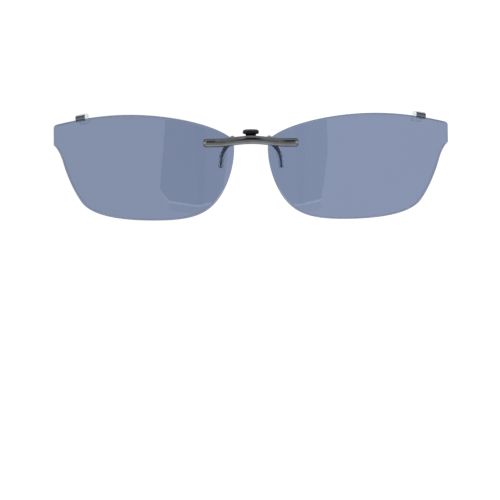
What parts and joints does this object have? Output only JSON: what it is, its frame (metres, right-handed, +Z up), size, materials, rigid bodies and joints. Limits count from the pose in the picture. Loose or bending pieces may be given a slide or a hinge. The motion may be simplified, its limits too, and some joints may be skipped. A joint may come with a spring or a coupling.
{
  "type": "clip on sunglasses",
  "caption": "Rimless tinted clip-on lenses on an arched metal bar, with a sprung pinch clamp behind the bar and sleeved hooks on the outer top edges.",
  "frame": {"origin": "middle of the flat underside of the clamp bracket, which rests on the bridge of the spectacles", "axes": "+X towards the wearer's left along the pair, +Y from the lenses towards the wearer's face, +Z up"},
  "size_m": [0.132, 0.0151, 0.0359],
  "materials": {
    "tinted_lens": "polished, see-through blue-grey polarising tint",
    "gunmetal": "polished dark gunmetal plating",
    "bright_steel": "drawn stainless steel",
    "hook_metal": "satin dark gunmetal plating",
    "black_pad": "black moulded grip, satin",
    "clear_plastic": "clear moulded",
    "clear_sleeve": "clear soft silicone tube"
  },
  "bodies": {
    "front": {"left_lens": "tinted_lens", "right_lens": "tinted_lens", "bridge_bar": "gunmetal", "left_inner_bushing": "clear_plastic", "right_inner_bushing": "clear_plastic", "left_outer_bushing": "clear_plastic", "right_outer_bushing": "clear_plastic", "left_inner_washer": "bright_steel", "right_inner_washer": "bright_steel", "left_outer_washer": "bright_steel", "right_outer_washer": "bright_steel", "left_inner_screw": "bright_steel", "right_inner_screw": "bright_steel", "left_outer_screw": "bright_steel", "right_outer_screw": "bright_steel", "clamp_bracket": "gunmetal", "hinge_pin": "bright_steel", "torsion_spring": "bright_steel", "left_front_prong": "bright_steel", "right_front_prong": "bright_steel", "left_front_prong_sleeve": "clear_sleeve", "right_front_prong_sleeve": "clear_sleeve", "left_outer_hook": "hook_metal", "right_outer_hook": "hook_metal", "left_outer_hook_sleeve": "clear_sleeve", "right_outer_hook_sleeve": "clear_sleeve"},
    "lever": {"clamp_lever": "gunmetal", "thumb_pad": "black_pad", "left_rear_prong": "bright_steel", "right_rear_prong": "bright_steel", "left_rear_prong_sleeve": "clear_sleeve", "right_rear_prong_sleeve": "clear_sleeve"}
  },
  "joints": [
    {"name": "clamp_hinge", "type": "hinge", "parent": "front", "child": "lever", "pos_m": [0, 0.0009, 0.0012], "axis": [1, 0, 0], "range_deg": [0, 25], "stiffness_Nm_per_rad": 0.003, "springref_deg": -20.05, "deforming": ["torsion_spring"]}
  ]
}
